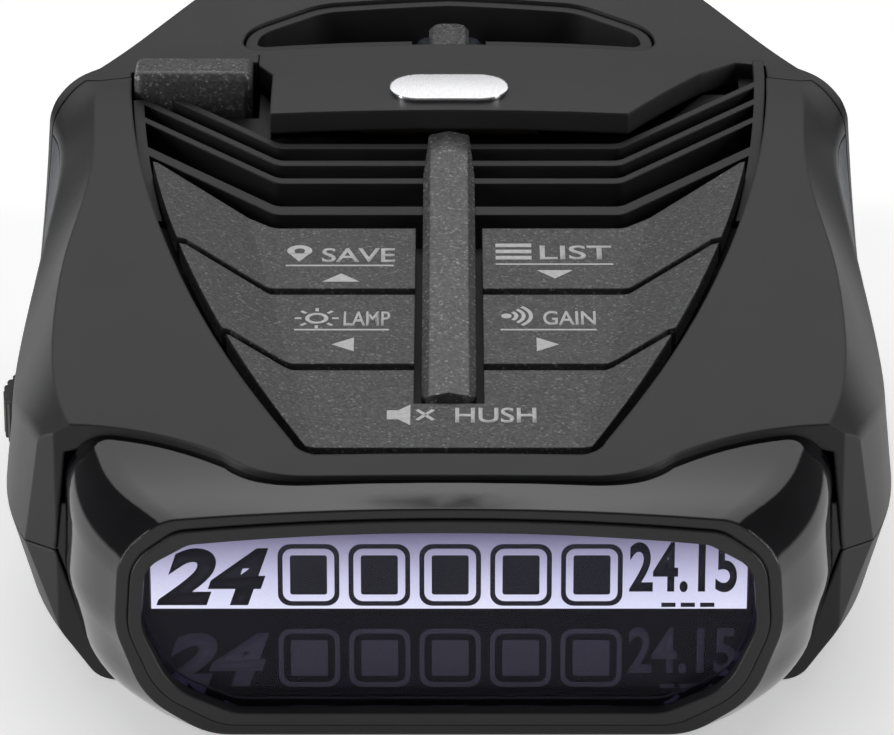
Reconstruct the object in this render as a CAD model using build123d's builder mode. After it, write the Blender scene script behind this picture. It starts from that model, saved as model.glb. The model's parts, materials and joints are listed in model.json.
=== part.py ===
"""Windscreen radar and laser detector: a display at the near end (-Y), five keys in a sunken panel,
a speaker louvre, and a nose with the antenna and the optics at the far end (+Y, towards the road).
+X is the user's right. The origin is under the middle of the case, on the surface it rests on."""

import os

from build123d import *

# ---------------------------------------------------------------- driving dimensions, millimetres
LENGTH = 104.0
FRONT_Y = -LENGTH / 2  # front of the display ring
NOSE_Y = LENGTH / 2  # front of the nose
WALL = 1.8
PART_Z = 11.0  # the plane where the two halves of the case meet
SEAM = 0.12  # gap between neighbouring mouldings
TALL = 60.0  # longer than the case, for cutting tools

# Case sections: y, crown height, then half width and height of wing edge, shoulder, waist, keel and foot.
CASE_STATIONS = [
    (-47.0, 20.9, (27.0, 20.6), (29.0, 19.0), (29.6, PART_Z), (28.0, 4.0), (25.0, 0.0)),
    (-37.0, 22.5, (30.2, 22.1), (32.4, 20.4), (33.4, PART_Z), (31.4, 4.0), (28.4, 0.0)),
    (-30.0, 23.4, (31.6, 23.1), (34.3, 19.2), (35.4, PART_Z), (33.4, 4.0), (30.2, 0.0)),
    (-20.0, 24.8, (32.1, 24.4), (35.7, 17.2), (36.3, PART_Z), (34.4, 4.0), (31.4, 0.0)),
    (-10.0, 26.3, (31.8, 25.8), (35.6, 18.5), (36.2, PART_Z), (34.4, 4.0), (31.4, 0.0)),
    (0.0, 27.8, (30.9, 27.0), (34.5, 22.5), (36.1, PART_Z), (34.4, 4.0), (31.4, 0.0)),
    (10.0, 29.2, (30.7, 28.0), (33.8, 25.2), (36.4, PART_Z), (34.4, 4.0), (31.4, 0.0)),
    (20.0, 30.3, (31.2, 28.7), (34.9, 26.7), (36.8, PART_Z), (34.6, 4.0), (31.4, 0.0)),
    (32.0, 31.2, (31.6, 29.1), (35.6, 27.2), (36.8, PART_Z), (34.6, 4.0), (31.4, 0.0)),
    (53.0, 31.8, (31.6, 29.3), (35.6, 27.2), (36.8, PART_Z), (34.6, 4.0), (31.4, 0.0)),
]
CASE_ROUNDS = (0.0, 1.6, 0.0, 3.0, 2.0)  # wing edge, shoulder, waist, keel, foot

# The glossy hood round the display, by the same scheme.
HOOD_STATIONS = [
    (FRONT_Y, 20.5, (21.8, 19.5), (25.2, 16.6), (25.6, 10.5), (23.4, 4.6), (18.5, 1.5)),
    (-48.0, 20.6, (24.6, 19.8), (27.4, 16.6), (27.7, 10.5), (25.8, 4.0), (21.5, 0.8)),
    (-43.0, 21.1, (27.2, 20.3), (29.4, 17.2), (29.7, 10.5), (28.0, 3.6), (24.0, 0.3)),
    (-38.0, 22.0, (28.7, 21.3), (30.2, 18.2), (30.5, 10.5), (29.0, 3.5), (25.5, 0.2)),
    (-33.0, 22.6, (29.0, 22.0), (31.0, 18.6), (31.2, 10.5), (29.5, 3.5), (26.0, 0.2)),
]
HOOD_ROUNDS = (3.8, 4.4, 6.0, 6.8, 5.8)
HOOD_BACK_Y = -36.2  # the hood tucks this far under the case
HOOD_WALL = 1.6

# Plan of the nose: a straight chamfer each side, then the flat front.
CHAMFER_SLOPE = 0.62  # x lost per y gained
CHAMFER_START = (36.3, 19.5)
NOSE_FLAT = CHAMFER_START[0] - CHAMFER_SLOPE * (NOSE_Y - CHAMFER_START[1])
NOSE_SEAM_Y = 24.5
NOSE_LIP = 0.8  # the nose cover laps outside the case by this much along the chamfer
NOSE_TOP_Z = 33.2
NOSE_ROUND = (15.0, 13.2)  # the nose's top edge is a quarter ellipse, in y and z

# Sunken panel between the wings.
PANEL_NEAR = (10.4, -43.5)
PANEL_SIDE = [(12.2, -41.6), (22.5, -13.3), (28.2, NOSE_SEAM_Y)]
KEY_SLOPE = 0.10
KEY_NEAR = (-41.0, 21.0)  # y and z of the keys' near edge
KEY_THICK = 1.6
WEB_DROP = 2.5  # web below the keys' top face
WEB_THICK = 1.1
FOLD_RISE = 0.25  # the outer ends of the keys rise by this much per millimetre
RAIL_HALF = 2.2
RAIL_NEAR_Y = -33.0
RAIL_FAR_Y = 13.6

# Rows of keys: y of the straight part, x of the bend, then the far end of the slanted part.
ROW_TOP = (-1.9, 14.8, (25.0, 7.2))
ROW_MID = (-14.2, 14.8, (21.9, -8.2))
ROW_LOW = (-27.5, 12.9, (17.7, -23.7))
KEY_GAP = 0.55
KEY_EDGE_GAP = 1.15

# Louvre blades: y of the straight part and thickness, near to far.
BLADES = [(0.4, 1.4), (5.6, 0.9), (8.6, 0.9), (11.5, 0.9)]
BLADE_BEND_X = 14.7
BLADE_SLANT = 0.88

# Bridge over the louvre, and the scoop behind it.
BRIDGE_Y = 14.0
BRIDGE_HALF = 15.6
SCOOP_NEAR_Y = 28.5
SCOOP_HALF = 18.8
SCOOP_DEPTH_Y = 10.1
SCOOP_FLOOR_Z = 27.7

# Release button, in the notch left of the bridge.
TAB_X = (-27.8, -17.4)
TAB_Y = (20.6, 25.4)
TAB_Z = (21.6, 30.8)
TAB_SPRING = (-22.6, 22.6)
SPRING_LOW = 17.8

# Boards, bought-in parts and fasteners.
BOARD_Z = 9.0
BOARD_THICK = 1.6
WHEEL_CENTRE = (-28.6, -16.5)
WHEEL_R = 8.2
WHEEL_Z = (12.5, 15.9)
SHAFT_R = 1.5
JACK_Y = 2.0
JACK_Z = 5.9
JACK_R = 1.8
USB_Y = -12.0
USB_Z = 7.05
CASE_SCREWS = [(27.0, -29.5), (-27.0, -29.5), (28.5, 16.5), (-28.5, 16.5)]
BOARD_SCREWS = [(24.0, -22.0), (-19.5, -33.0), (20.5, 18.5), (-20.5, 18.5)]
KEY_STEMS = {
    "key_up": (-8.6, -8.0),
    "key_down": (8.6, -8.0),
    "key_left": (-8.2, -20.8),
    "key_right": (8.2, -20.8),
    "key_mute": (0.0, -36.3),
}
STEM_R = 1.5


# ---------------------------------------------------------------- shared shapes
def key_top(y):
    """Height of the keys' top face on the centre line."""
    return KEY_NEAR[1] + KEY_SLOPE * (y - KEY_NEAR[0])


def section(station, inset, rounds):
    """Closed cross-section of the case or hood, moved inwards by inset."""
    y, crown, edge, shoulder, waist, keel, foot = station
    drops = (-1.0, -0.5, 0.0, 0.5, 1.0)  # how far each corner sinks or rises for each unit of inset
    corners = [
        (w - inset, z + inset * drop)
        for (w, z), drop in zip((edge, shoulder, waist, keel, foot), drops)
    ]
    with BuildSketch(Plane.XZ.offset(-y)) as sketch:
        with BuildLine():
            top = corners[0]
            ThreePointArc((-top[0], top[1]), (0, crown - inset), top)
            Polyline(*corners)
            Line(corners[-1], (-corners[-1][0], corners[-1][1]))
            Polyline(*[(-w, z) for w, z in reversed(corners)])
        make_face()
        if rounds:
            for (w, z), radius in zip(corners, rounds):
                if not radius:
                    continue
                near = [v for v in sketch.vertices() if abs(abs(v.X) - w) + abs(v.Y - z) < 1e-3]
                fillet(near, radius)
    return sketch.sketch


def skin(stations, inset=0.0, rounds=None):
    """Solid inside the case or hood surface, moved inwards by inset."""
    with BuildPart() as solid:
        for station in stations:
            add(section(station, inset, rounds))
        loft()
    return solid.part


def nose_block(inset=0.0):
    """Everything behind the nose's chamfers and under its rounded top, moved inwards by inset."""
    reach = CHAMFER_START[0] + 30 * CHAMFER_SLOPE
    with BuildPart() as block:
        with BuildSketch() as plan:
            with BuildLine():
                Polyline(
                    (-reach, CHAMFER_START[1] - 30),
                    (-reach, -TALL),
                    (reach, -TALL),
                    (reach, CHAMFER_START[1] - 30),
                    (NOSE_FLAT, NOSE_Y),
                    (-NOSE_FLAT, NOSE_Y),
                    close=True,
                )
            make_face()
            fillet(plan.vertices().group_by(Axis.Y)[-1], 4.0)
            if inset:
                offset(amount=-inset)
        extrude(amount=TALL, both=True)
        with BuildSketch(Plane.YZ):
            with BuildLine():
                far, low = NOSE_Y - inset, -1.0 + inset
                top = NOSE_TOP_Z - inset
                centre = (NOSE_Y - NOSE_ROUND[0], NOSE_TOP_Z - NOSE_ROUND[1])
                Polyline((centre[0], top), (-TALL, top), (-TALL, low), (far - 6, low), (far, low + 7))
                Line((far, low + 7), (far, centre[1]))
                EllipticalCenterArc(centre, NOSE_ROUND[0] - inset, NOSE_ROUND[1] - inset, arc_size=90)
            make_face()
        extrude(amount=TALL, both=True, mode=Mode.INTERSECT)
    return block.part


def prism(face, low=-5.0, high=TALL):
    """A plan outline made into a tall block."""
    with BuildPart() as block:
        add(face.moved(Location((0, 0, low))))
        extrude(amount=high - low)
    return block.part


def panel_plan(grow=0.0):
    """Outline of the sunken panel between the wings."""
    with BuildSketch() as plan:
        with BuildLine():
            side = ThreePointArc(*PANEL_SIDE)
            RadiusArc(PANEL_NEAR, side @ 0, -2.6)
            Line((0, PANEL_NEAR[1]), PANEL_NEAR)
            Polyline(side @ 1, (PANEL_SIDE[-1][0], 34), (0, 34))
            mirror(about=Plane.YZ)
        make_face()
        if grow:
            offset(amount=grow)
    return plan.sketch


def hood_plan(seam=0.0):
    """Everything in front of the S-shaped seam between the case and the hood, moved back by seam."""
    with BuildSketch() as plan:
        with BuildLine():
            straight = Line((0, -46.6 + seam), (11.0, -46.6 + seam))
            turn_out = TangentArc(straight @ 1, (17.5, -43.3 + seam), tangent=(1, 0))
            turn_back = ThreePointArc(turn_out @ 1, (24.0, -39.7 + seam), (33.0, -38.3 + seam))
            Polyline(turn_back @ 1, (TALL, -38.3 + seam), (TALL, -TALL), (0, -TALL))
            mirror(about=Plane.YZ)
        make_face()
    return plan.sketch


def row_plan(row, shift=0.0):
    """Everything on the near side of a row's bent line, on the right-hand half."""
    y, bend, (far_x, far_y) = row
    with BuildSketch() as plan:
        with BuildLine():
            Polyline(
                (0, -TALL),
                (0, y + shift),
                (bend, y + shift),
                (far_x, far_y + shift),
                (TALL, far_y + shift),
                (TALL, -TALL),
                close=True,
            )
        make_face()
        fillet(plan.vertices().filter_by_position(Axis.X, bend - 1, bend + 1), 1.6)
    return plan.sketch


def folded_slab(low, high, top_at, rise, fold):
    """Slab between two heights about a sloping surface, flat in the middle and rising at both sides.
    top_at gives the height for a y, and fold the half width of the flat part."""
    with BuildPart() as slab:
        for y in (-50.0, 36.0):
            z, flat = top_at(y), fold(y)
            rim = z + rise * (TALL / 2 - flat)
            with BuildSketch(Plane.XZ.offset(-y)):
                Polygon(
                    (-TALL / 2, rim + high),
                    (-flat, z + high),
                    (flat, z + high),
                    (TALL / 2, rim + high),
                    (TALL / 2, rim + low),
                    (flat, z + low),
                    (-flat, z + low),
                    (-TALL / 2, rim + low),
                    align=None,
                )
        loft(ruled=True)
    return slab.part


def key_fold(y):
    return 10.5 + 0.16 * (y - KEY_NEAR[0])


def key_slab(low, high):
    return folded_slab(low, high, key_top, FOLD_RISE, key_fold)


def flat_slab(low, high):
    """Slab parallel to the middle of the keys."""
    return folded_slab(low, high, key_top, 0.0, key_fold)


def tilted(y, drop):
    """Plane parallel to the keys, at a y on the centre line and a distance below their top face."""
    return Plane((0, y, key_top(y) - drop), x_dir=(1, 0, 0), z_dir=(0, -KEY_SLOPE, 1))


def block(x, y, z):
    """Box between two values on each axis."""
    centre = ((x[0] + x[1]) / 2, (y[0] + y[1]) / 2, (z[0] + z[1]) / 2)
    with BuildPart(Location(centre)) as solid:
        Box(abs(x[1] - x[0]), abs(y[1] - y[0]), abs(z[1] - z[0]))
    return solid.part


def pegs(places, radius, low, high):
    """Upright cylinders between two heights."""
    with BuildPart() as group:
        with BuildSketch(Plane.XY.offset(low)):
            with Locations(*places):
                Circle(radius)
        extrude(amount=high - low)
    return group.part


def screws(places, head_z, head_r, shank_r, shank):
    """Pan-head screws with a cross recess. The shank points down for a positive length."""
    way = 1 if shank > 0 else -1
    with BuildPart() as group:
        for x, y in places:
            with BuildSketch(Plane.XY.offset(head_z)):
                with Locations((x, y)):
                    Circle(head_r)
            extrude(amount=1.4 * way)
            with BuildSketch(Plane.XY.offset(head_z)):
                with Locations((x, y)):
                    Circle(shank_r)
            extrude(amount=-shank)
            with BuildSketch(Plane.XY.offset(head_z + 1.4 * way)):
                with Locations((x, y)):
                    Rectangle(head_r * 1.2, 0.5)
                    Rectangle(0.5, head_r * 1.2)
            extrude(amount=-0.7 * way, mode=Mode.SUBTRACT)
    return group


def finish(builder, name):
    """Labels a finished piece and writes its file."""
    builder.part.label = name
    export_step(builder.part, f"parts/{name}.step")
    print(name, builder.part.is_valid, len(builder.part.solids()), round(builder.part.volume, 1))


os.makedirs("parts", exist_ok=True)

outer = skin(CASE_STATIONS, 0.0, CASE_ROUNDS) & nose_block()
inner = skin(CASE_STATIONS, WALL) & nose_block(WALL)
hood_front = prism(hood_plan())
hood_front_and_seam = prism(hood_plan(SEAM))
above_joint = block((-TALL, TALL), (-TALL, TALL), (PART_Z - SEAM / 2, TALL))
below_joint = block((-TALL, TALL), (-TALL, TALL), (-TALL, PART_Z + SEAM / 2))


# ---------------------------------------------------------------- case mouldings
def nose_plan(grow=0.0):
    """Plan of what the nose cover takes, with its thin lips along the chamfers."""
    lip = NOSE_LIP * (1 + CHAMFER_SLOPE**2) ** 0.5
    start_x = CHAMFER_START[0] - lip - CHAMFER_SLOPE * (NOSE_SEAM_Y - CHAMFER_START[1])
    end_y = NOSE_SEAM_Y - (38 - start_x) / CHAMFER_SLOPE
    with BuildSketch() as plan:
        with BuildLine():
            Polyline(
                (0, NOSE_SEAM_Y), (start_x, NOSE_SEAM_Y), (38, end_y), (TALL, end_y), (TALL, TALL), (0, TALL)
            )
            mirror(about=Plane.YZ)
        make_face()
        if grow:
            offset(amount=grow)
    return plan.sketch


def side_outline(grow=0.0):
    """Outline of the glossy side insert, in the YZ plane."""
    with BuildSketch(Plane.YZ) as outline:
        with BuildLine():
            upper = ThreePointArc((-7.5, 18.2), (4.0, 22.9), (17.5, 25.3))
            back = Polyline(upper @ 1, (30.0, 25.3), (30.0, 13.2), (17.5, 13.2))
            ThreePointArc(back @ 1, (3.0, 13.7), upper @ 0)
        make_face()
        if grow:
            offset(amount=grow)
    return outline.sketch


def side_bar(grow=0.0):
    """The side insert's outline taken right through the case."""
    with BuildPart() as bar:
        extrude(side_outline(grow), amount=TALL, dir=(1, 0, 0), both=True)
    return bar.part


insert_floor = skin(CASE_STATIONS, 0.9) & nose_block()
insert_skin = (outer - insert_floor) & side_bar()
for name, way in (("side_insert_right", 1), ("side_insert_left", -1)):
    with BuildPart() as insert:
        add(insert_skin)
        add(prism(nose_plan(SEAM)), mode=Mode.SUBTRACT)
        add(block((0, -way * TALL), (-TALL, TALL), (-TALL, TALL)), mode=Mode.SUBTRACT)
    finish(insert, name)

rim = prism(panel_plan(1.1)) & key_slab(-WEB_DROP - WEB_THICK, TALL)
well = prism(panel_plan()) & key_slab(-WEB_DROP, TALL)
hollow = inner - rim
insert_pockets = side_bar(SEAM) - (skin(CASE_STATIONS, 0.95) & nose_block())

with BuildPart() as upper_case:
    add(outer)
    add(hollow, mode=Mode.SUBTRACT)
    add(well, mode=Mode.SUBTRACT)
    # the web carries the keys and stops short of the speaker
    add(prism(panel_plan(), 18.0) & block((-TALL, TALL), (-1.0, TALL), (-TALL, TALL)), mode=Mode.SUBTRACT)
    for x, y in KEY_STEMS.values():
        with BuildSketch(tilted(y, 0)):
            with Locations((x, 0)):
                Circle(STEM_R + 0.4)
        extrude(amount=12, both=True, mode=Mode.SUBTRACT)
    # bosses for the case screws
    add(pegs(CASE_SCREWS[:2], 2.7, PART_Z, 22.3))
    add(pegs(CASE_SCREWS[2:], 2.7, PART_Z, 18.5))
    for way in (-1, 1):
        add(block((28.5 * way, 35.4 * way), (15.7, 17.3), (PART_Z, 18.5)))
    add(block((-35.4, -17.0), (18.4, 24.6), (SPRING_LOW - 1.2, SPRING_LOW)))
    add(pegs(CASE_SCREWS, 1.15, PART_Z - 1, 17.5), mode=Mode.SUBTRACT)
    add(below_joint, mode=Mode.SUBTRACT)
    add(hood_front_and_seam, mode=Mode.SUBTRACT)
    add(prism(nose_plan(SEAM)), mode=Mode.SUBTRACT)
    add(insert_pockets, mode=Mode.SUBTRACT)
    for way in (-1, 1):
        with BuildSketch(Plane((33.6 * way, -36.2, 0), x_dir=(2.3, 1.8 * way, 0), z_dir=(1.8 * way, -2.3, 0))):
            Rectangle(30, 3 * TALL)
        extrude(amount=20, mode=Mode.SUBTRACT)
    slot_z = (WHEEL_Z[0] - 0.25, WHEEL_Z[1] + 0.25)
    add(block((-40, -33.4), (WHEEL_CENTRE[1] - 6.3, WHEEL_CENTRE[1] + 6.3), slot_z), mode=Mode.SUBTRACT)
finish(upper_case, "upper_case")

with BuildPart() as lower_case:
    add(outer)
    add(inner, mode=Mode.SUBTRACT)
    add(pegs(CASE_SCREWS, 3.2, 0.9, PART_Z) & outer)
    add(pegs(BOARD_SCREWS, 2.6, 0.9, BOARD_Z))
    add(pegs(CASE_SCREWS, 2.5, -1.0, 3.0), mode=Mode.SUBTRACT)
    add(pegs(CASE_SCREWS, 1.3, -1.0, PART_Z + 1), mode=Mode.SUBTRACT)
    add(pegs(BOARD_SCREWS, 1.15, 3.0, PART_Z), mode=Mode.SUBTRACT)
    add(above_joint, mode=Mode.SUBTRACT)
    add(hood_front_and_seam, mode=Mode.SUBTRACT)
    for way in (-1, 1):
        with BuildSketch(Plane((33.6 * way, -36.2, 0), x_dir=(2.3, 1.8 * way, 0), z_dir=(1.8 * way, -2.3, 0))):
            Rectangle(30, 3 * TALL)
        extrude(amount=20, mode=Mode.SUBTRACT)
    with BuildSketch(Plane.YZ.offset(30)):
        with Locations((JACK_Y, JACK_Z)):
            Circle(3.3)
        with Locations((USB_Y, USB_Z)):
            Rectangle(8.3, 4.5)
    extrude(amount=10, mode=Mode.SUBTRACT)
    # seat for the flush rating plate, and slots that let the warm air out
    add(block((-22, 22), (-12, 16), (-1, 0.4)), mode=Mode.SUBTRACT)
    with BuildSketch():
        with GridLocations(5.0, 0, 7, 1):
            with Locations((0, 28.0)):
                SlotOverall(12, 1.6, rotation=90)
    extrude(amount=WALL + 1, mode=Mode.SUBTRACT)
finish(lower_case, "lower_case")


# ---------------------------------------------------------------- nose
def bridge_plan():
    """Plan of the bridge over the louvre, up to where it joins the rest of the nose."""
    with BuildSketch() as plan:
        with BuildLine():
            Polyline(
                (-BRIDGE_HALF, BRIDGE_Y),
                (BRIDGE_HALF, BRIDGE_Y),
                (22.3, 23.9),
                (25.6, 27.4),
                (25.6, 30.0),
                (TAB_X[1] + 0.5, 30.0),
                (TAB_X[1] + 0.5, 25.0),
                (-BRIDGE_HALF, 22.5),
                close=True,
            )
        make_face()
    return plan.sketch


def notch_plan():
    """Plan of the corners left open at each side of the bridge."""
    with BuildSketch() as plan:
        with BuildLine():
            Polyline((TAB_X[0] - 0.5, 0), (30, 0), (30, 27.4), (TAB_X[0] - 0.5, 27.4), close=True)
        make_face()
        with Locations((-24, 27.0)):
            Rectangle(14, 2.6, mode=Mode.SUBTRACT)
        with Locations((30, 14)):
            Rectangle(3.4, 40, mode=Mode.SUBTRACT)
    return plan.sketch


def scoop_plan(grow=0.0):
    """D-shaped outline of the scoop, straight at the near side."""
    with BuildSketch() as plan:
        with BuildLine():
            Polyline(
                (0, SCOOP_NEAR_Y),
                (SCOOP_HALF, SCOOP_NEAR_Y),
                (SCOOP_HALF - 0.6, SCOOP_NEAR_Y + 5.0),
                (SCOOP_HALF - 7.0, SCOOP_NEAR_Y + 9.2),
                (0, SCOOP_NEAR_Y + SCOOP_DEPTH_Y),
            )
            mirror(about=Plane.YZ)
        make_face()
        fillet(plan.vertices().group_by(Axis.Y)[0], 2.2)
        fillet(plan.vertices().filter_by_position(Axis.Y, SCOOP_NEAR_Y + 4, SCOOP_NEAR_Y + 6), 4.0)
        fillet(plan.vertices().filter_by_position(Axis.Y, SCOOP_NEAR_Y + 9, SCOOP_NEAR_Y + 9.5), 6.0)
        if grow:
            offset(amount=grow)
    return plan.sketch


nose_top = outer - (skin(CASE_STATIONS, WALL) & nose_block(WALL))
nose_room = prism(nose_plan())

with BuildPart() as nose_cover:
    add(outer)
    add(inner, mode=Mode.SUBTRACT)
    add(nose_room, mode=Mode.INTERSECT)
    add(prism(notch_plan()), mode=Mode.SUBTRACT)
    add(nose_top & prism(bridge_plan(), 20.0))
    add(block((-TALL, TALL), (29.0, 45.0), (21.0, 22.0)) & inner)
    add(prism(scoop_plan(), 22.5), mode=Mode.SUBTRACT)
    add(block((-13.2, 13.2), (44.0, 60.0), (12.3, 19.7)), mode=Mode.SUBTRACT)
    add(below_joint, mode=Mode.SUBTRACT)
finish(nose_cover, "nose_cover")

with BuildPart() as scoop_tray:
    add(prism(scoop_plan(-0.25), SCOOP_FLOOR_Z - 1.2))
    add(skin(CASE_STATIONS, 0.25), mode=Mode.INTERSECT)
    add(prism(scoop_plan(-1.3), SCOOP_FLOOR_Z), mode=Mode.SUBTRACT)
    add(block((-3.3, 3.3), (SCOOP_NEAR_Y - 1, 31.0), (SCOOP_FLOOR_Z, TALL)), mode=Mode.SUBTRACT)
finish(scoop_tray, "scoop_tray")

with BuildPart() as rear_eye_lens:
    with BuildSketch(Plane.XY.offset(SCOOP_FLOOR_Z)):
        with Locations((0, 32.2)):
            RectangleRounded(6.0, 5.2, 1.4)
    extrude(amount=2.0)
    fillet(rear_eye_lens.faces().sort_by(Axis.Z)[-1].edges(), 0.8)
finish(rear_eye_lens, "rear_eye_lens")

with BuildPart() as rear_eye_cap:
    with BuildSketch(Plane.XY.offset(SCOOP_FLOOR_Z)):
        with Locations((0, 32.25)):
            RectangleRounded(3.6, 7.3, 1.4)
    extrude(amount=2.8)
    chamfer(rear_eye_cap.faces().sort_by(Axis.Z)[-1].edges(), 0.35)
    add(block((-5, 5), (29.5, 34.9), (SCOOP_FLOOR_Z - 1, SCOOP_FLOOR_Z + 2.05)), mode=Mode.SUBTRACT)
finish(rear_eye_cap, "rear_eye_cap")

with BuildPart() as front_window:
    with BuildSketch(Plane.XZ.offset(-50.4)):
        with Locations((0, 16.0)):
            RectangleRounded(26.2, 7.2, 0.8)
    extrude(amount=-1.4)
finish(front_window, "front_window")

with BuildPart() as badge:
    with BuildSketch(Plane.XY.offset(28.0)):
        with Locations((0, 18.2)):
            SlotOverall(10.4, 5.2)
    extrude(amount=6.0)
    add(skin(CASE_STATIONS, -0.35), mode=Mode.INTERSECT)
    add(outer, mode=Mode.SUBTRACT)
finish(badge, "badge")


# ---------------------------------------------------------------- display
hood_outer = skin(HOOD_STATIONS, 0.0, HOOD_ROUNDS)
hood_frame_room = skin(HOOD_STATIONS, 2.75)


def face_slab(inset, near, far):
    """Slab in the shape of the hood's front, between two values of y."""
    with BuildPart() as slab:
        rounds = [radius - inset for radius in HOOD_ROUNDS]
        extrude(section(HOOD_STATIONS[0], inset, rounds), amount=far - FRONT_Y, dir=(0, 1, 0))
        add(block((-TALL, TALL), (near, -TALL), (-TALL, TALL)), mode=Mode.SUBTRACT)
    return slab.part


hood_flange_room = skin(CASE_STATIONS, WALL + 0.15)
sleeve_room = block((-TALL, TALL), (-48.2, HOOD_BACK_Y), (-1.0, 15.0))
with BuildPart() as display_hood:
    add(hood_outer)
    add(skin(HOOD_STATIONS, HOOD_WALL), mode=Mode.SUBTRACT)
    add(face_slab(0.85, FRONT_Y - 1, -49.0), mode=Mode.SUBTRACT)
    add(hood_front, mode=Mode.INTERSECT)
    add((skin(HOOD_STATIONS, 1.9) - skin(HOOD_STATIONS, 2.6)) & sleeve_room)
    add((skin(HOOD_STATIONS, 1.5) - skin(HOOD_STATIONS, 2.6)) & block((-TALL, TALL), (-48.2, -46.9), (-1.0, 15.0)))
    for way in (-1, 1):
        add(block((24.6 * way, TALL * way), (-37.9, -36.8), (1.0, 15.0)) & hood_flange_room)
    add(block((-TALL, TALL), (-TALL, FRONT_Y + 0.2), (-TALL, TALL)), mode=Mode.SUBTRACT)
finish(display_hood, "display_hood")

with BuildPart() as bezel_ring:
    add(face_slab(0.9, FRONT_Y, -49.1))
    add(face_slab(1.9, FRONT_Y - 1, -49.0), mode=Mode.SUBTRACT)
finish(bezel_ring, "bezel_ring")

with BuildPart() as display_window:
    add(face_slab(1.95, -50.8, -49.6))
finish(display_window, "display_window")

LCD_X = 23.0
LCD_Z = (10.9, 17.2)
with BuildPart() as lcd_frame:
    add(hood_frame_room & block((-TALL, TALL), (-49.05, -45.6), (-1.0, 18.0)))
    add(block((-LCD_X - 0.1, LCD_X + 0.1), (-50, -46.2), (LCD_Z[0] - 0.1, LCD_Z[1] + 0.1)), mode=Mode.SUBTRACT)
finish(lcd_frame, "lcd_frame")

with BuildPart() as lcd_panel:
    add(block((-LCD_X, LCD_X), (-49.0, -46.2), LCD_Z))
finish(lcd_panel, "lcd_panel")

with BuildPart() as display_board:
    add(hood_frame_room & block((-TALL, TALL), (-45.6, -44.2), (4.0, 16.6)))
finish(display_board, "display_board")


# ---------------------------------------------------------------- keys
def key_plate():
    """All five keys before they are cut apart: a folded plate inside the panel's walls."""
    with BuildPart() as plate:
        add(prism(panel_plan(-KEY_EDGE_GAP)))
        add(key_slab(-KEY_THICK, 0), mode=Mode.INTERSECT)
        add(block((-TALL, TALL), (-TALL, KEY_NEAR[0]), (-TALL, TALL)), mode=Mode.SUBTRACT)
        add(block((-RAIL_HALF - 0.6, RAIL_HALF + 0.6), (RAIL_NEAR_Y - 0.7, TALL), (-TALL, TALL)), mode=Mode.SUBTRACT)
    return plate.part


def row_block(row, grow):
    """Everything nearer than a row's bent line, on both sides of the middle."""
    right = prism(row_plan(row, grow))
    return right + right.mirror(Plane.YZ)


plate = key_plate()
left_half = block((-TALL, 0), (-TALL, TALL), (-TALL, TALL))
right_half = block((0, TALL), (-TALL, TALL), (-TALL, TALL))
top_row = (plate & row_block(ROW_TOP, -KEY_GAP)) - row_block(ROW_MID, KEY_GAP)
middle_row = (plate & row_block(ROW_MID, -KEY_GAP)) - row_block(ROW_LOW, KEY_GAP)
bottom_row = plate & row_block(ROW_LOW, -KEY_GAP)
KEY_SHAPES = {
    "key_up": top_row & left_half,
    "key_down": top_row & right_half,
    "key_left": middle_row & left_half,
    "key_right": middle_row & right_half,
    "key_mute": bottom_row,
}
SWITCH_DROP = 5.05
for name, shape in KEY_SHAPES.items():
    x, y = KEY_STEMS[name]
    with BuildPart() as key:
        add(shape)
        with BuildSketch(tilted(y, KEY_THICK - 0.2)):
            with Locations((x, 0)):
                Circle(STEM_R)
        extrude(amount=-(SWITCH_DROP - 0.55 - KEY_THICK + 0.2))
    finish(key, name)

with BuildPart() as key_board:
    add(prism(panel_plan(-2.0)) & flat_slab(-8.2, -7.0))
    add(block((-TALL, TALL), (-4.2, TALL), (-TALL, TALL)), mode=Mode.SUBTRACT)
finish(key_board, "key_board")

with BuildPart() as key_switches:
    for x, y in KEY_STEMS.values():
        with BuildSketch(tilted(y, 7.0)):
            with Locations((x, 0)):
                RectangleRounded(6.0, 6.0, 0.5)
        extrude(amount=1.5)
        with BuildSketch(tilted(y, 5.5)):
            with Locations((x, 0)):
                Circle(1.6)
        extrude(amount=5.5 - SWITCH_DROP)
finish(key_switches, "key_switches")


# ---------------------------------------------------------------- rail, louvre and speaker
def louvre_top(y):
    """Height of the louvre's blades."""
    return 25.0 + 0.18 * (y - BLADES[0][0])


def rail_top(y):
    return 22.5 + 0.119 * (y + 32.0)


with BuildPart() as centre_rail:
    for y in (RAIL_NEAR_Y - 2, RAIL_FAR_Y + 2):
        top = rail_top(y)
        with BuildSketch(Plane.XZ.offset(-y)):
            Polygon(
                (-RAIL_HALF, 10), (-RAIL_HALF, top - 0.9), (-RAIL_HALF + 0.6, top - 0.35), (0, top),
                (RAIL_HALF - 0.6, top - 0.35), (RAIL_HALF, top - 0.9), (RAIL_HALF, 10), align=None,
            )
    loft(ruled=True)
    with BuildSketch() as rail_plan:
        with Locations((0, (RAIL_NEAR_Y + RAIL_FAR_Y) / 2 + 3)):
            RectangleRounded(2 * RAIL_HALF, RAIL_FAR_Y - RAIL_NEAR_Y + 6, 1.4)
    extrude(amount=TALL, both=True, mode=Mode.INTERSECT)
    add(block((-5, 5), (RAIL_FAR_Y, TALL), (-TALL, TALL)), mode=Mode.SUBTRACT)
    add(flat_slab(-TALL, -WEB_DROP), mode=Mode.SUBTRACT)
    with BuildSketch(Plane.YZ):
        Polygon(
            (-1.3, -TALL), (-1.3, louvre_top(-1.3) + 0.05), (TALL, louvre_top(TALL) + 0.05), (TALL, -TALL),
            align=None,
        )
    extrude(amount=TALL, both=True, mode=Mode.SUBTRACT)
finish(centre_rail, "centre_rail")

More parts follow.
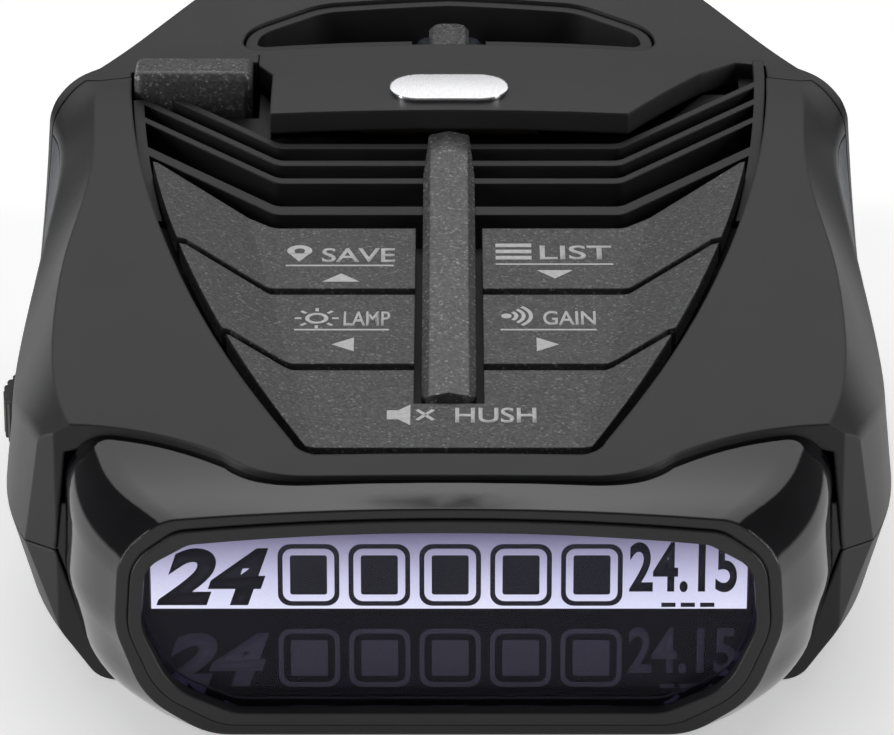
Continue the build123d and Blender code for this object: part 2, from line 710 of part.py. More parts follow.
BLADE_DEEP = 3.1
louvre_room = prism(panel_plan(-0.15)) - block((-TALL, TALL), (-TALL, -0.6), (-TALL, TALL))
louvre_room = louvre_room - block((-TALL, TALL), (27.2, TALL), (-TALL, TALL))
blade_level = folded_slab(-BLADE_DEEP, 0, louvre_top, 0.0, key_fold)
with BuildSketch() as tray_plan:
    Polygon(
        (-BLADE_BEND_X, 12.0), (BLADE_BEND_X, 12.0), (27.6, 23.4), (27.6, 27.1), (-27.6, 27.1), (-27.6, 23.4),
        align=None,
    )
tray = prism(tray_plan.sketch & panel_plan(-0.5)) & folded_slab(-BLADE_DEEP - 1, -1.7, louvre_top, 0.0, key_fold)
with BuildPart() as speaker_louvre:
    add(louvre_room - prism(panel_plan(-1.1)))
    for y, thick in BLADES:
        row = (y, BLADE_BEND_X, (27.5, y + BLADE_SLANT * (27.5 - BLADE_BEND_X)))
        add((row_block(row, thick) - row_block(row, 0.0)) & louvre_room)
    add(tray)
    add(blade_level, mode=Mode.INTERSECT)
    add(prism(bridge_plan()) & block((-TALL, TALL), (13.3, TALL), (25.3, TALL)), mode=Mode.SUBTRACT)
    add(block((-TALL, 25.8), (24.2, TALL), (25.3, TALL)), mode=Mode.SUBTRACT)
    add(block((TAB_X[0] - 3, TAB_X[1] + 0.6), (TAB_Y[0] - 0.6, TALL), (-TALL, TALL)), mode=Mode.SUBTRACT)
finish(speaker_louvre, "speaker_louvre")

SPEAKER = (0.0, 12.6)
SPEAKER_PLANE = Plane((*SPEAKER, 0), x_dir=(1, 0, 0), z_dir=(0, -1, 0))
SPEAKER_AXIS = Axis((*SPEAKER, 0), (0, 0, 1))
with BuildPart() as speaker_cloth:
    with BuildSketch(Plane.XY.offset(21.5)):
        with Locations((0, 8.2)):
            RectangleRounded(46, 17, 2)
    extrude(amount=0.3)
finish(speaker_cloth, "speaker_cloth")

with BuildPart() as speaker_basket:
    with BuildSketch(SPEAKER_PLANE):
        Polygon(
            (3.6, 17.0), (7.5, 17.0), (12.6, 20.9), (13.4, 20.9), (13.4, 21.5), (12.2, 21.5), (7.1, 17.6),
            (3.6, 17.6), align=None,
        )
    revolve(axis=SPEAKER_AXIS)
finish(speaker_basket, "speaker_basket")

with BuildPart() as speaker_cone:
    with BuildSketch(SPEAKER_PLANE):
        Polygon(
            (0, 19.4), (2.6, 18.9), (3.2, 17.9), (3.5, 17.9), (11.6, 21.15), (11.6, 21.45), (3.4, 18.2),
            (2.9, 19.2), (0, 19.7), align=None,
        )
    revolve(axis=SPEAKER_AXIS)
finish(speaker_cone, "speaker_cone")

with BuildPart() as speaker_magnet:
    with BuildSketch(Plane.XY.offset(14.0)):
        with Locations(SPEAKER):
            Circle(6.5)
    extrude(amount=3.0)
    chamfer(speaker_magnet.edges().filter_by(GeomType.CIRCLE), 0.3)
finish(speaker_magnet, "speaker_magnet")

with BuildPart() as speaker_pad:
    add(pegs([SPEAKER], 6.0, 13.2, 14.0))
finish(speaker_pad, "speaker_pad")


# ---------------------------------------------------------------- volume wheel and release button
with BuildPart() as volume_wheel:
    with BuildSketch(Plane.XY.offset(WHEEL_Z[0])):
        with Locations(WHEEL_CENTRE):
            Circle(WHEEL_R)
            Circle(SHAFT_R + 0.04, mode=Mode.SUBTRACT)
            with PolarLocations(WHEEL_R + 0.15, 40):
                Circle(0.42, mode=Mode.SUBTRACT)
    extrude(amount=WHEEL_Z[1] - WHEEL_Z[0])
finish(volume_wheel, "volume_wheel")

with BuildPart() as volume_pot:
    with BuildSketch(Plane.XY.offset(BOARD_Z + BOARD_THICK)):
        with Locations(WHEEL_CENTRE):
            RectangleRounded(9.5, 9.5, 0.8)
    extrude(amount=1.6)
    add(pegs([WHEEL_CENTRE], SHAFT_R, 12.0, 16.4))
finish(volume_pot, "volume_pot")

with BuildPart() as release_button:
    with BuildSketch(Plane.XY.offset(TAB_Z[0])):
        with Locations(((TAB_X[0] + TAB_X[1]) / 2, (TAB_Y[0] + TAB_Y[1]) / 2)):
            RectangleRounded(TAB_X[1] - TAB_X[0], TAB_Y[1] - TAB_Y[0], 0.8)
    extrude(amount=TAB_Z[1] - TAB_Z[0])
    fillet(release_button.faces().sort_by(Axis.Z)[-1].edges(), 0.7)
    add(pegs([TAB_SPRING], 2.6, TAB_Z[0] - 1, TAB_Z[0] + 3.0), mode=Mode.SUBTRACT)
finish(release_button, "release_button")

SPRING_HIGH = TAB_Z[0] + 3.0
with BuildPart() as release_spring:
    with BuildLine(Location((*TAB_SPRING, SPRING_LOW + 0.25))) as coil:
        Helix(pitch=1.25, height=SPRING_HIGH - SPRING_LOW - 0.5, radius=1.9)
    with BuildSketch(Plane(coil.line @ 0, z_dir=coil.line % 0)):
        Circle(0.25)
    sweep()
finish(release_spring, "release_spring")


# ---------------------------------------------------------------- boards and bought-in parts
with BuildPart() as main_board:
    with BuildSketch(Plane.XY.offset(BOARD_Z)):
        with Locations((0, -6.3)):
            RectangleRounded(63.0, 56.6, 1.0)
        with Locations((0, -37.5)):
            Rectangle(46, 8)
        with Locations(*CASE_SCREWS):
            Circle(3.6, mode=Mode.SUBTRACT)
        with Locations(*[(x * 1.15, y) for x, y in CASE_SCREWS]):
            Rectangle(9, 5.0, mode=Mode.SUBTRACT)
        with Locations(*BOARD_SCREWS):
            Circle(1.25, mode=Mode.SUBTRACT)
    extrude(amount=BOARD_THICK)
finish(main_board, "main_board")

board_screws = screws(BOARD_SCREWS, BOARD_Z + BOARD_THICK, 2.2, 1.1, 7.0)
finish(board_screws, "board_screws")
case_screws = screws(CASE_SCREWS, 3.0, 2.2, 1.1, -14.0)
finish(case_screws, "case_screws")

board_top = BOARD_Z + BOARD_THICK
with BuildPart() as shield_can:
    add(block((-12.5, 12.5), (-3.0, 21.0), (board_top, 13.2)))
    fillet(shield_can.edges().filter_by(Axis.Z), 1.2)
    add(block((-12.1, 12.1), (-2.6, 20.6), (board_top - 1, 12.8)), mode=Mode.SUBTRACT)
finish(shield_can, "shield_can")

with BuildPart() as processor_chip:
    with BuildSketch(Plane.XY.offset(board_top)):
        with Locations((4.0, -20.0)):
            Rectangle(11.0, 11.0)
    extrude(amount=1.3)
    chamfer(processor_chip.faces().sort_by(Axis.Z)[-1].edges(), 0.25)
    with BuildSketch(Plane.XY.offset(board_top + 0.3)):
        with Locations((4.0, -20.0)):
            for turn in (0, 90):
                with GridLocations(0.9, 0, 11, 1):
                    Rectangle(0.35, 12.6)
    extrude(amount=0.25)
finish(processor_chip, "processor_chip")

CAPACITORS = [(-20.0, -8.0), (-13.5, -12.0), (18.0, -9.0), (17.0, -30.0), (-9.0, -30.0)]
with BuildPart() as capacitors:
    add(pegs(CAPACITORS, 1.6, board_top, board_top + 1.7))
finish(capacitors, "capacitors")

with BuildPart() as power_jack:
    add(block((20.8, 30.4), (JACK_Y - 3.6, JACK_Y + 3.6), (JACK_Z - 3.1, BOARD_Z)))
    with BuildSketch(Plane.YZ.offset(30.4)):
        with Locations((JACK_Y, JACK_Z)):
            Circle(3.0)
    extrude(amount=4.3)
    with BuildSketch(Plane.YZ.offset(23.7)):
        with Locations((JACK_Y, JACK_Z)):
            Circle(JACK_R)
    extrude(amount=12, mode=Mode.SUBTRACT)
finish(power_jack, "power_jack")

with BuildPart() as usb_port:
    with BuildSketch(Plane.YZ.offset(27.0)):
        with Locations((USB_Y, USB_Z)):
            RectangleRounded(7.7, 3.9, 0.5)
            RectangleRounded(6.9, 3.1, 0.4, mode=Mode.SUBTRACT)
    extrude(amount=7.0)
    add(block((27.0, 27.6), (USB_Y - 3.6, USB_Y + 3.6), (USB_Z - 1.7, USB_Z + 1.7)))
    add(block((27.0, 32.5), (USB_Y - 2.4, USB_Y + 2.4), (USB_Z + 0.2, USB_Z + 0.9)))
finish(usb_port, "usb_port")

HORN_Z = (3.4, 13.6)
HORN_THROAT_Z = (6.4, 10.6)


def horn_shape(wall):
    """Outside of the horn for no wall, or its hollow for a wall."""
    with BuildPart() as shape:
        for y, half, low, high in ((29.5, 5.5, *HORN_THROAT_Z), (45.5, 12.6, *HORN_Z)):
            with BuildSketch(Plane.XZ.offset(-y)):
                with Locations((0, (low + high) / 2)):
                    Rectangle(2 * (half - wall), high - low - 2 * wall)
        loft(ruled=True)
    return shape.part


with BuildPart() as horn_antenna:
    add(horn_shape(0.0))
    add(block((-5.5, 5.5), (24.6, 29.5), HORN_THROAT_Z))
    add(horn_shape(0.8), mode=Mode.SUBTRACT)
    add(block((-4.7, 4.7), (25.6, 29.6), (HORN_THROAT_Z[0] + 0.8, HORN_THROAT_Z[1] - 0.8)), mode=Mode.SUBTRACT)
finish(horn_antenna, "horn_antenna")

with BuildPart() as mixer_board:
    add(block((-12, 12), (23.2, 24.6), (2.4, 15.0)))
    add(block((-6, 6), (22.4, 23.2), (4.0, 8.0)))
finish(mixer_board, "mixer_board")

with BuildPart() as laser_sensor:
    add(block((-7.0, 7.0), (37.0, 38.4), (13.8, 20.8)))
    with BuildSketch(Plane.XZ.offset(-38.4)):
        with Locations((0, 17.4)):
            Circle(2.4)
    extrude(amount=-2.2)
finish(laser_sensor, "laser_sensor")

with BuildPart() as laser_lens:
    with BuildSketch(Plane.XZ.offset(-44.6)):
        with Locations((0, 17.2)):
            RectangleRounded(17.0, 6.6, 1.0)
    extrude(amount=-1.0)
    with BuildSketch(Plane.XZ.offset(-45.6)):
        with Locations((0, 17.2)):
            Circle(3.1)
    extrude(amount=-1.6)
    fillet(laser_lens.faces().sort_by(Axis.Y)[-1].edges(), 1.2)
finish(laser_lens, "laser_lens")

with BuildPart() as gps_antenna:
    add(block((-8, 8), (29.6, 44.4), (22.0, 23.0)))
    add(block((-6.5, 6.5), (30.6, 43.4), (23.0, 25.6)))
finish(gps_antenna, "gps_antenna")

with BuildPart() as display_ribbon:
    with BuildSketch(Plane.YZ):
        with BuildLine():
            Polyline((-44.2, 12.6), (-42.6, 12.6), (-40.0, board_top + 0.15), (-37.0, board_top + 0.15))
        trace(line_width=0.28)
    extrude(amount=5.0, both=True, dir=(1, 0, 0))
    add(block((-8, 8), (-44.3, -30), (-TALL, board_top)), mode=Mode.SUBTRACT)
finish(display_ribbon, "display_ribbon")

with BuildPart() as speaker_wires:
    for x in (14.2, 15.4):
        with BuildLine():
            route = Spline((x, 6.0, board_top + 0.1), (x, 5.9, 14.0), (x, 8.0, 19.0), (x - 1.2, 10.0, 20.3))
        with BuildSketch(Plane(route @ 0, z_dir=route % 0)):
            Circle(0.4)
        sweep(path=route)
finish(speaker_wires, "speaker_wires")

with BuildPart() as rating_plate:
    add(block((-21.8, 21.8), (-11.8, 15.8), (0.0, 0.4)))
finish(rating_plate, "rating_plate")
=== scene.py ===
"""Looks for the windscreen detector: materials, key legends, the lit display, light and camera."""

import json
import math

import bmesh
import bpy
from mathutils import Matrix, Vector


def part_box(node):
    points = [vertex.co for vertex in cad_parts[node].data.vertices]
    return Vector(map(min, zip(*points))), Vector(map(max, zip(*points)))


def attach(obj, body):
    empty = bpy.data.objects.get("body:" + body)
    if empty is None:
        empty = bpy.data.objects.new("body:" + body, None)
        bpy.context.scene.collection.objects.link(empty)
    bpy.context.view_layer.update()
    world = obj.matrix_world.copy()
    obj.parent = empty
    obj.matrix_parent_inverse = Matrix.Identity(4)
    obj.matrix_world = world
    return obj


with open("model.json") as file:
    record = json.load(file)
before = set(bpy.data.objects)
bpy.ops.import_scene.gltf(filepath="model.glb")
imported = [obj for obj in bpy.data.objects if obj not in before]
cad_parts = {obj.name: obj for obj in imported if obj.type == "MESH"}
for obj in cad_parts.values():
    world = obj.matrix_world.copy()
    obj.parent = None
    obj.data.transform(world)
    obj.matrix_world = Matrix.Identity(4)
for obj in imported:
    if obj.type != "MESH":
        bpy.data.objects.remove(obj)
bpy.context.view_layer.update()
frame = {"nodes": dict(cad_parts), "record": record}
MM = 0.001
MOTTLE = 0.12  # how far moulded plastic strays from its own colour


# ---------------------------------------------------------------- materials
class Nodes:
    """Small helper round a material's node tree."""

    def __init__(self, name):
        self.mat = bpy.data.materials.new(name)
        self.mat.use_nodes = True
        self.tree = self.mat.node_tree
        self.bsdf = self.tree.nodes["Principled BSDF"]
        self.coords = self.tree.nodes.new("ShaderNodeTexCoord").outputs["Object"]

    def new(self, kind):
        return self.tree.nodes.new(kind)

    def link(self, a, b):
        self.tree.links.new(a, b)

    def noise(self, scale, detail=3.0, stretch=None):
        coords = self.coords
        if stretch:
            mapping = self.new("ShaderNodeMapping")
            mapping.inputs["Scale"].default_value = stretch
            self.link(coords, mapping.inputs["Vector"])
            coords = mapping.outputs["Vector"]
        node = self.new("ShaderNodeTexNoise")
        node.inputs["Scale"].default_value = scale
        node.inputs["Detail"].default_value = detail
        self.link(coords, node.inputs["Vector"])
        return node.outputs["Fac"]

    def ramp(self, value, stops):
        node = self.new("ShaderNodeValToRGB")
        ramp = node.color_ramp
        while len(ramp.elements) < len(stops):
            ramp.elements.new(0.5)
        for element, (place, colour) in zip(ramp.elements, stops):
            element.position = place
            element.color = (*colour, 1.0)
        self.link(value, node.inputs["Fac"])
        return node.outputs["Color"]

    def spread(self, value, low, high):
        node = self.new("ShaderNodeMapRange")
        node.inputs["To Min"].default_value = low
        node.inputs["To Max"].default_value = high
        self.link(value, node.inputs["Value"])
        return node.outputs["Result"]

    def relief(self, height, strength, distance, edge=0.25):
        """Bump on top of softly rounded edges."""
        bevel = self.new("ShaderNodeBevel")
        bevel.samples = 6
        bevel.inputs["Radius"].default_value = edge * MM
        bump = self.new("ShaderNodeBump")
        bump.inputs["Strength"].default_value = strength
        bump.inputs["Distance"].default_value = distance * MM
        self.link(height, bump.inputs["Height"])
        self.link(bevel.outputs["Normal"], bump.inputs["Normal"])
        self.link(bump.outputs["Normal"], self.bsdf.inputs["Normal"])


def scaled(colour, factor):
    return tuple(min(1.0, c * factor) for c in colour)


def plastic(name, colour, rough=0.5, grain=5000.0, depth=0.012, spec=0.5, edge=0.3):
    """Moulded plastic: fine spark-eroded grain, slight mottling and worn-smooth patches."""
    n = Nodes(name)
    broad = n.noise(180.0, 4.0)
    fine = n.noise(grain, 2.0)
    stops = [(0.3, scaled(colour, 1 - MOTTLE)), (0.7, scaled(colour, 1 + MOTTLE))]
    n.link(n.ramp(broad, stops), n.bsdf.inputs["Base Color"])
    n.link(n.spread(broad, rough - 0.05, rough + 0.05), n.bsdf.inputs["Roughness"])
    n.bsdf.inputs["Specular IOR Level"].default_value = spec
    n.relief(fine, 0.35, depth, edge)
    return n.mat


def sparkle(name, colour, rough=0.42):
    """Paint with fine metal flake."""
    n = Nodes(name)
    flake = n.new("ShaderNodeTexVoronoi")
    flake.inputs["Scale"].default_value = 5200.0
    n.link(n.coords, flake.inputs["Vector"])
    tone = n.new("ShaderNodeSeparateColor")
    n.link(flake.outputs["Color"], tone.inputs["Color"])
    stops = [(0.0, scaled(colour, 0.72)), (0.75, colour), (0.93, scaled(colour, 1.6)), (1.0, scaled(colour, 3.2))]
    n.link(n.ramp(tone.outputs["Red"], stops), n.bsdf.inputs["Base Color"])
    n.link(n.spread(tone.outputs["Green"], rough - 0.12, rough + 0.12), n.bsdf.inputs["Roughness"])
    n.bsdf.inputs["Metallic"].default_value = 0.25
    n.bsdf.inputs["Specular IOR Level"].default_value = 0.45
    n.relief(n.noise(6000.0, 1.0), 0.25, 0.01, 0.22)
    return n.mat


def gloss(name, colour, rough=0.06, coat=1.0, spec=0.5):
    """Polished plastic with a faint orange-peel and hairline marks."""
    n = Nodes(name)
    peel = n.noise(260.0, 2.0)
    hairs = n.noise(900.0, 5.0, (1.0, 9.0, 1.0))
    n.link(n.ramp(peel, [(0.35, scaled(colour, 0.8)), (0.65, scaled(colour, 1.2))]), n.bsdf.inputs["Base Color"])
    n.link(n.spread(hairs, rough * 0.6, rough * 1.6), n.bsdf.inputs["Roughness"])
    n.bsdf.inputs["Specular IOR Level"].default_value = spec
    n.bsdf.inputs["Coat Weight"].default_value = coat
    n.bsdf.inputs["Coat Roughness"].default_value = 0.03
    n.relief(peel, 0.04, 0.02, 0.35)
    return n.mat


def metal(name, colour, rough=0.28, stretch=(1.0, 12.0, 1.0)):
    """Drawn or plated metal with brushing along one way."""
    n = Nodes(name)
    lines = n.noise(1600.0, 5.0, stretch)
    n.link(n.ramp(lines, [(0.3, scaled(colour, 0.85)), (0.7, scaled(colour, 1.1))]), n.bsdf.inputs["Base Color"])
    n.link(n.spread(lines, rough - 0.08, rough + 0.1), n.bsdf.inputs["Roughness"])
    n.bsdf.inputs["Metallic"].default_value = 1.0
    n.relief(lines, 0.08, 0.006, 0.2)
    return n.mat


def weave(name, colour, scale=1500.0):
    """Woven cloth or paper fibre."""
    n = Nodes(name)
    waves = []
    for way in ("X", "Y"):
        wave = n.new("ShaderNodeTexWave")
        wave.bands_direction = way
        wave.inputs["Scale"].default_value = scale
        wave.inputs["Distortion"].default_value = 0.4
        n.link(n.coords, wave.inputs["Vector"])
        waves.append(wave.outputs["Fac"])
    both = n.new("ShaderNodeMath")
    both.operation = "MULTIPLY"
    n.link(waves[0], both.inputs[0])
    n.link(waves[1], both.inputs[1])
    stops = [(0.0, scaled(colour, 0.5)), (1.0, scaled(colour, 1.5))]
    n.link(n.ramp(both.outputs["Value"], stops), n.bsdf.inputs["Base Color"])
    n.bsdf.inputs["Roughness"].default_value = 0.9
    n.relief(both.outputs["Value"], 0.5, 0.05, 0.1)
    return n.mat


def board(name):
    """Green solder mask with traces showing through."""
    n = Nodes(name)
    bricks = n.new("ShaderNodeTexBrick")
    bricks.inputs["Scale"].default_value = 160.0
    bricks.inputs["Mortar Size"].default_value = 0.03
    bricks.inputs["Color1"].default_value = (0.012, 0.07, 0.03, 1)
    bricks.inputs["Color2"].default_value = (0.015, 0.09, 0.04, 1)
    bricks.inputs["Mortar"].default_value = (0.03, 0.16, 0.07, 1)
    n.link(n.coords, bricks.inputs["Vector"])
    n.link(bricks.outputs["Color"], n.bsdf.inputs["Base Color"])
    n.link(n.spread(n.noise(800.0), 0.25, 0.4), n.bsdf.inputs["Roughness"])
    n.relief(bricks.outputs["Fac"], 0.2, 0.03, 0.15)
    return n.mat


def tinted_window(name):
    """Smoked display window: clear enough to read through, glossy, with a faint violet coating."""
    n = Nodes(name)
    clear = n.new("ShaderNodeBsdfTransparent")
    smoke = n.noise(90.0, 3.0)
    n.link(n.ramp(smoke, [(0.3, (0.84, 0.84, 0.9)), (0.7, (0.9, 0.89, 0.93))]), clear.inputs["Color"])
    shine = n.new("ShaderNodeBsdfGlossy")
    shine.inputs["Color"].default_value = (0.82, 0.8, 1.0, 1)
    n.link(n.spread(n.noise(700.0, 4.0, (1.0, 8.0, 1.0)), 0.02, 0.05), shine.inputs["Roughness"])
    fresnel = n.new("ShaderNodeFresnel")
    fresnel.inputs["IOR"].default_value = 1.2
    mix = n.new("ShaderNodeMixShader")
    n.link(fresnel.outputs["Fac"], mix.inputs["Fac"])
    n.link(clear.outputs["BSDF"], mix.inputs[1])
    n.link(shine.outputs["BSDF"], mix.inputs[2])
    n.link(mix.outputs["Shader"], n.tree.nodes["Material Output"].inputs["Surface"])
    return n.mat


def backlight(name, low, high, strength):
    """Panel lit from behind: brighter at the bottom, violet towards the top."""
    n = Nodes(name)
    split = n.new("ShaderNodeSeparateXYZ")
    n.link(n.coords, split.inputs["Vector"])
    rise = n.new("ShaderNodeMapRange")
    rise.inputs["From Min"].default_value = low
    rise.inputs["From Max"].default_value = high
    n.link(split.outputs["Z"], rise.inputs["Value"])
    stops = [
        (0.0, (0.86, 0.88, 0.98)), (0.4, (0.64, 0.64, 0.79)),
        (0.78, (0.32, 0.31, 0.42)), (1.0, (0.12, 0.11, 0.18)),
    ]
    tint = n.ramp(rise.outputs["Result"], stops)
    pixels = n.noise(5200.0, 1.0)
    power = n.spread(pixels, strength * 0.92, strength * 1.08)
    n.bsdf.inputs["Base Color"].default_value = (0.05, 0.05, 0.06, 1)
    n.link(tint, n.bsdf.inputs["Emission Color"])
    n.link(power, n.bsdf.inputs["Emission Strength"])
    n.bsdf.inputs["Roughness"].default_value = 0.3
    return n.mat


def print_ink_and_painted_glow(name, colour, glow=0.0):
    """Printed ink with a slightly uneven edge tone; with glow set, a dim glowing copy used as a painted
    reflection.
    """
    n = Nodes(name)
    tone = n.ramp(n.noise(2400.0, 2.0), [(0.3, scaled(colour, 0.88)), (0.7, scaled(colour, 1.08))])
    n.link(tone, n.bsdf.inputs["Base Color"])
    n.bsdf.inputs["Roughness"].default_value = 0.55
    if glow:
        n.link(tone, n.bsdf.inputs["Emission Color"])
        n.bsdf.inputs["Emission Strength"].default_value = glow
    return n.mat


LCD_LOW, LCD_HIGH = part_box("lcd_panel")
FINISH = {
    "soft_black": plastic("soft_black", (0.017, 0.017, 0.018), 0.5, 5200.0, 0.012, 0.33, 0.35),
    "piano_black": gloss("piano_black", (0.003, 0.003, 0.004), 0.07, 0.0, 0.4),
    "ring_grey": plastic("ring_grey", (0.016, 0.015, 0.016), 0.34, 4200.0, 0.008, 0.35, 0.3),
    "display_glass": tinted_window("display_glass"),
    "lcd": backlight("lcd", LCD_LOW.z, LCD_HIGH.z, 1.15),
    "frame_plastic": plastic("frame_plastic", (0.002, 0.002, 0.003), 0.7, 5000.0, 0.004, 0.1),
    "circuit_board": board("circuit_board"),
    "key_grey": sparkle("key_grey", (0.05, 0.05, 0.052)),
    "switch_black": plastic("switch_black", (0.02, 0.02, 0.02), 0.45),
    "rail_grey": sparkle("rail_grey", (0.085, 0.085, 0.088), 0.36),
    "louvre_black": plastic("louvre_black", (0.012, 0.012, 0.013), 0.5, 5000.0, 0.01, 0.28, 0.2),
    "cloth": weave("cloth", (0.008, 0.008, 0.008)),
    "speaker_steel": metal("speaker_steel", (0.55, 0.55, 0.56)),
    "cone_paper": weave("cone_paper", (0.03, 0.03, 0.03), 900.0),
    "foam": plastic("foam", (0.02, 0.02, 0.02), 0.9, 1500.0, 0.1),
    "wheel_rubber": plastic("wheel_rubber", (0.018, 0.018, 0.018), 0.6, 3500.0, 0.02, 0.4, 0.12),
    "spring_steel": metal("spring_steel", (0.5, 0.5, 0.5), 0.3),
    "chip_black": plastic("chip_black", (0.02, 0.02, 0.02), 0.5),
    "insert_gloss": gloss("insert_gloss", (0.01, 0.014, 0.022), 0.4, 0.0, 0.12),
    "lens_glass": gloss("lens_glass", (0.12, 0.06, 0.14), 0.04),
    "ceramic": plastic("ceramic", (0.6, 0.52, 0.4), 0.45, 2500.0, 0.03),
    "copper": metal("copper", (0.7, 0.36, 0.2), 0.3),
    "satin_chrome": metal("satin_chrome", (0.8, 0.8, 0.82), 0.16, (10.0, 1.0, 1.0)),
    "label_silver": metal("label_silver", (0.35, 0.35, 0.36), 0.42),
}
INK_WHITE = print_ink_and_painted_glow("legend_ink", (0.62, 0.62, 0.62))
GLYPH_DARK = print_ink_and_painted_glow("lcd_dark", (0.004, 0.004, 0.007))
# painted reflection: dim glowing ink for a copy of the display figures, laid on the black frame where the smoked
# window reflects them
REFLECTION_INK = print_ink_and_painted_glow("lcd_painted_reflection", (0.026, 0.024, 0.034), 0.55)

for part in frame["record"]["subparts"]:
    mesh = frame["nodes"][part["node"]].data
    mesh.materials.clear()
    mesh.materials.append(FINISH[part["material_slot"]])


# ---------------------------------------------------------------- flat shapes laid on a surface
DISC_STEPS = 28
BAND_STEPS = 14
CORNER_STEPS = 6


def bar(x0, y0, x1, y1):
    return [(x0, y0), (x1, y0), (x1, y1), (x0, y1)]


def disc(cx, cy, r):
    turns = [math.radians(360.0 * i / DISC_STEPS) for i in range(DISC_STEPS)]
    return [(cx + r * math.cos(t), cy + r * math.sin(t)) for t in turns]


def arc_band(cx, cy, r0, r1, start, end):
    """Curved stripe between two radii."""
    turns = [math.radians(start + (end - start) * i / BAND_STEPS) for i in range(BAND_STEPS + 1)]
    outside = [(cx + r1 * math.cos(t), cy + r1 * math.sin(t)) for t in turns]
    inside = [(cx + r0 * math.cos(t), cy + r0 * math.sin(t)) for t in reversed(turns)]
    return outside + inside


def rounded(x0, y0, x1, y1, r):
    """Rounded square outline."""
    corners = ((x1 - r, y0 + r, -90), (x1 - r, y1 - r, 0), (x0 + r, y1 - r, 90), (x0 + r, y0 + r, 180))
    points = []
    for cx, cy, start in corners:
        for i in range(CORNER_STEPS + 1):
            turn = math.radians(start + 90 * i / CORNER_STEPS)
            points.append((cx + r * math.cos(turn), cy + r * math.sin(turn)))
    return points


def words(text, x0, x1, y0, y1, shear=0.0, bold=0.0):
    """Mesh of upright generic characters, fitted into a rectangle in millimetres."""
    curve = bpy.data.curves.new(text, "FONT")
    curve.body = text
    curve.shear = shear
    curve.offset = bold
    curve.resolution_u = 6
    holder = bpy.data.objects.new(text, curve)
    mesh = bpy.data.meshes.new_from_object(holder)
    bpy.data.objects.remove(holder)
    xs = [v.co.x for v in mesh.vertices]
    ys = [v.co.y for v in mesh.vertices]
    for v in mesh.vertices:
        v.co.x = x0 + (v.co.x - min(xs)) / (max(xs) - min(xs)) * (x1 - x0)
        v.co.y = y0 + (v.co.y - min(ys)) / (max(ys) - min(ys)) * (y1 - y0)
        v.co.z = 0.0
    return mesh


def lay(name, shapes, texts, place, material, body, thick):
    """One raised print from outlines and texts in millimetres. place(x, y, up) gives the spot in metres."""
    bm = bmesh.new()
    for outline in shapes:
        low = [bm.verts.new((x, y, 0)) for x, y in outline]
        bm.faces.new(low)
    for mesh in texts:
        bm.from_mesh(mesh)
    bmesh.ops.remove_doubles(bm, verts=bm.verts, dist=1e-5)
    bmesh.ops.triangulate(bm, faces=bm.faces)
    bmesh.ops.recalc_face_normals(bm, faces=bm.faces)
    if sum(f.normal.z for f in bm.faces) < 0:
        bmesh.ops.reverse_faces(bm, faces=bm.faces)
    top = bmesh.ops.extrude_face_region(bm, geom=list(bm.faces))["geom"]
    raised = {v for v in top if isinstance(v, bmesh.types.BMVert)}
    for v in bm.verts:
        x, y = v.co.x, v.co.y
        v.co = place(x, y, thick if v in raised else 0.0)
    bmesh.ops.recalc_face_normals(bm, faces=bm.faces)
    mesh = bpy.data.meshes.new(name)
    bm.to_mesh(mesh)
    mesh.materials.append(material)
    piece = bpy.data.objects.new(name, mesh)
    bpy.context.scene.collection.objects.link(piece)
    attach(piece, body)
    return piece


# ---------------------------------------------------------------- legends printed on the keys
KEY_TOP = 21.0
KEY_SLOPE = 0.1
KEY_NEAR = -41.0


def on_key(x, y, up):
    """Spot on the flat middle of the keys."""
    return Vector((x, y, KEY_TOP + KEY_SLOPE * (y - KEY_NEAR) + up - 0.004)) * MM


def pin(cx, cy):
    """Map pin: a ring that runs down to a point."""
    ring = arc_band(cx, cy + 0.5, 0.45, 1.05, -40, 220)
    point = [(cx - 0.85, cy + 0.0), (cx + 0.85, cy + 0.0), (cx, cy - 1.5)]
    return [ring, point]


def sun(cx, cy):
    rays = []
    for i in range(8):
        a = math.radians(45 * i)
        u, v = math.cos(a), math.sin(a)
        ends = ((1.25, -0.14), (1.8, -0.14), (1.8, 0.14), (1.25, 0.14))
        rays.append([(cx + u * p - v * q, cy + v * p + u * q) for p, q in ends])
    return rays + [arc_band(cx, cy, 0.62, 0.95, 0, 180), arc_band(cx, cy, 0.62, 0.95, 180, 360)]


def waves(cx, cy):
    arcs = [arc_band(cx - 1.0, cy - 0.1, r, r + 0.32, -50, 50) for r in (0.75, 1.35, 1.95)]
    return [disc(cx - 0.9, cy - 0.1, 0.42)] + arcs


def hushed(cx, cy):
    """Loudspeaker with a crossed-out front."""
    body = [
        (cx - 1.5, cy - 0.75), (cx - 0.6, cy - 0.75), (cx + 0.35, cy - 1.7),
        (cx + 0.35, cy + 1.7), (cx - 0.6, cy + 0.75), (cx - 1.5, cy + 0.75),
    ]
    cross = []
    for s in (-1, 1):
        low = [(cx + 0.75, cy - s * 0.75), (cx + 1.0, cy - s * 0.95)]
        high = [(cx + 2.3, cy + s * 0.75), (cx + 2.05, cy + s * 0.95)]
        cross.append(low + high)
    return [body] + cross


